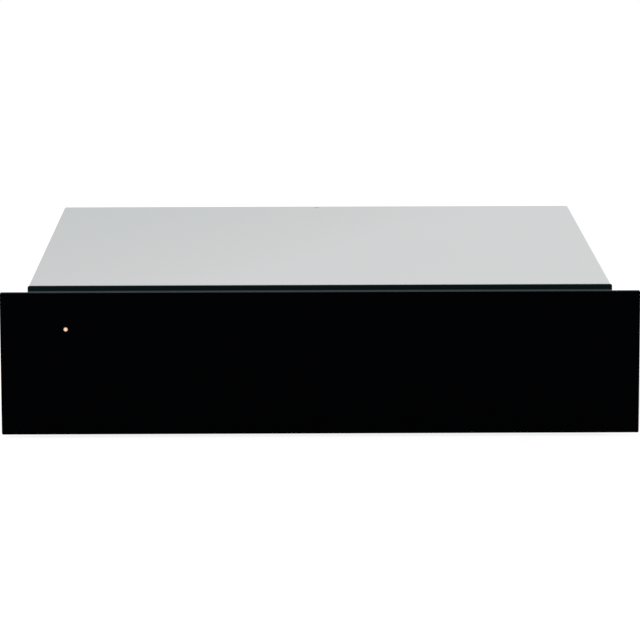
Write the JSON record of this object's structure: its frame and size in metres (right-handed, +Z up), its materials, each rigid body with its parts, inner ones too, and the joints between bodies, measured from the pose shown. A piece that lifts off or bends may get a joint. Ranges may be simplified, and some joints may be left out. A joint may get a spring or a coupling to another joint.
{
  "type": "built-in warming drawer",
  "caption": "Low built-in warming drawer with a black glass front, push-open latch, ball-bearing runners, fan heater and controls inside.",
  "frame": {"origin": "middle of the underside of the bounding box", "axes": "+X to the right seen from the front, +Y to the back, +Z up; the glass faces -Y"},
  "size_m": [0.595, 0.56, 0.14],
  "materials": {
    "black_glass": "high gloss, painted black behind",
    "clear_rod": "clear, polished",
    "neon": "glowing peach-orange",
    "satin_steel": "satin, fine grain",
    "zinc": "zinc coated, dull",
    "dark_enamel": "dark greenish black, satin",
    "grey_paint": "dark grey, dull",
    "black_rubber": "matt",
    "mat_rubber": "matt, raised dots",
    "loom_rubber": "matt",
    "stainless": "brushed",
    "bright_steel": "bright zinc plated",
    "mineral_wool": "fibrous",
    "ceramic": "matt",
    "core_steel": "laminated",
    "copper": "enamelled wire",
    "heater_steel": "heat tinted, matt",
    "black_plastic": "fine moulded grain",
    "grey_plastic": "moulded"
  },
  "bodies": {
    "housing": {"base_pan": "zinc", "side_panel_left": "zinc", "side_panel_right": "zinc", "top_plate": "satin_steel", "top_plate_screw": "zinc", "back_panel": "zinc", "front_frame": "dark_enamel", "frame_gasket": "black_rubber", "rail_bracket_left": "zinc", "rail_bracket_right": "zinc", "outer_rail_left": "bright_steel", "outer_rail_right": "bright_steel", "latch_body": "grey_plastic", "latch_bracket": "zinc", "terminal_box": "black_plastic", "terminal_box_cover": "black_plastic", "terminal_block": "ceramic", "cable_gland": "black_plastic", "gland_nut": "grey_plastic", "supply_loom": "loom_rubber"},
    "drawer": {"front_glass": "black_glass", "front_pan": "grey_paint", "front_insulation": "mineral_wool", "front_wall": "stainless", "drawer_tub": "stainless", "under_cover": "zinc", "floor_insulation": "mineral_wool", "anti_slip_mat": "mat_rubber", "drawer_back_wall": "stainless", "rear_cover": "zinc", "striker_plate": "bright_steel", "inner_rail_left": "bright_steel", "inner_rail_right": "bright_steel", "air_baffle": "zinc", "motor_core": "core_steel", "motor_coil": "copper", "thermal_cutout": "bright_steel", "heating_element": "heater_steel", "heater_flange": "stainless", "control_housing": "black_plastic", "control_fascia": "black_plastic", "switch_body": "black_plastic", "thermostat_body": "grey_plastic", "lamp_holder": "grey_plastic", "neon_lamp": "neon", "light_guide": "clear_rod"},
    "outer_cage_left": {"outer_ball_cage_left": "bright_steel"},
    "middle_slide_left": {"middle_rail_left": "bright_steel"},
    "inner_cage_left": {"inner_ball_cage_left": "bright_steel"},
    "outer_cage_right": {"outer_ball_cage_right": "bright_steel"},
    "middle_slide_right": {"middle_rail_right": "bright_steel"},
    "inner_cage_right": {"inner_ball_cage_right": "bright_steel"},
    "plunger": {"latch_plunger": "bright_steel", "plunger_tip": "black_rubber"},
    "fan": {"fan_impeller": "stainless", "fan_shaft": "bright_steel"},
    "knob": {"thermostat_knob": "black_plastic", "thermostat_shaft": "bright_steel"},
    "rocker": {"power_rocker": "black_plastic"}
  },
  "joints": [
    {"name": "drawer_slide", "type": "slide", "parent": "housing", "child": "drawer", "axis": [0, -1, 0], "range_m": [-0.003, 0.44], "deforming": ["supply_loom"]},
    {"name": "outer_cage_travel_left", "type": "slide", "parent": "housing", "child": "outer_cage_left", "axis": [0, -1, 0], "range_m": [-0.00077, 0.11002]},
    {"name": "middle_rail_travel_left", "type": "slide", "parent": "housing", "child": "middle_slide_left", "axis": [0, -1, 0], "range_m": [-0.00152, 0.22002]},
    {"name": "inner_cage_travel_left", "type": "slide", "parent": "housing", "child": "inner_cage_left", "axis": [0, -1, 0], "range_m": [-0.00227, 0.33002]},
    {"name": "outer_cage_travel_right", "type": "slide", "parent": "housing", "child": "outer_cage_right", "axis": [0, -1, 0], "range_m": [-0.00077, 0.11002]},
    {"name": "middle_rail_travel_right", "type": "slide", "parent": "housing", "child": "middle_slide_right", "axis": [0, -1, 0], "range_m": [-0.00152, 0.22002]},
    {"name": "inner_cage_travel_right", "type": "slide", "parent": "housing", "child": "inner_cage_right", "axis": [0, -1, 0], "range_m": [-0.00227, 0.33002]},
    {"name": "plunger_travel", "type": "slide", "parent": "housing", "child": "plunger", "axis": [0, -1, 0], "range_m": [-0.00026, 0.03522]},
    {"name": "fan_turn", "type": "hinge", "parent": "drawer", "child": "fan", "pos_m": [0, 0.166, 0.06755], "axis": [0, -1, 0], "continuous": true},
    {"name": "thermostat_turn", "type": "hinge", "parent": "drawer", "child": "knob", "pos_m": [-0.2187, -0.2208, 0.1111], "axis": [0, 0, -1], "range_deg": [0, 270]},
    {"name": "rocker_tip", "type": "hinge", "parent": "drawer", "child": "rocker", "pos_m": [-0.2147, -0.2488, 0.11], "axis": [0, -1, 0], "range_deg": [0, 14]}
  ],
  "couplings": [
    {"joint": "outer_cage_travel_left", "follows": "drawer_slide", "ratio": 0.25},
    {"joint": "middle_rail_travel_left", "follows": "drawer_slide", "ratio": 0.5},
    {"joint": "inner_cage_travel_left", "follows": "drawer_slide", "ratio": 0.75},
    {"joint": "outer_cage_travel_right", "follows": "drawer_slide", "ratio": 0.25},
    {"joint": "middle_rail_travel_right", "follows": "drawer_slide", "ratio": 0.5},
    {"joint": "inner_cage_travel_right", "follows": "drawer_slide", "ratio": 0.75},
    {"joint": "plunger_travel", "follows": "drawer_slide", "ratio": 0.08}
  ]
}
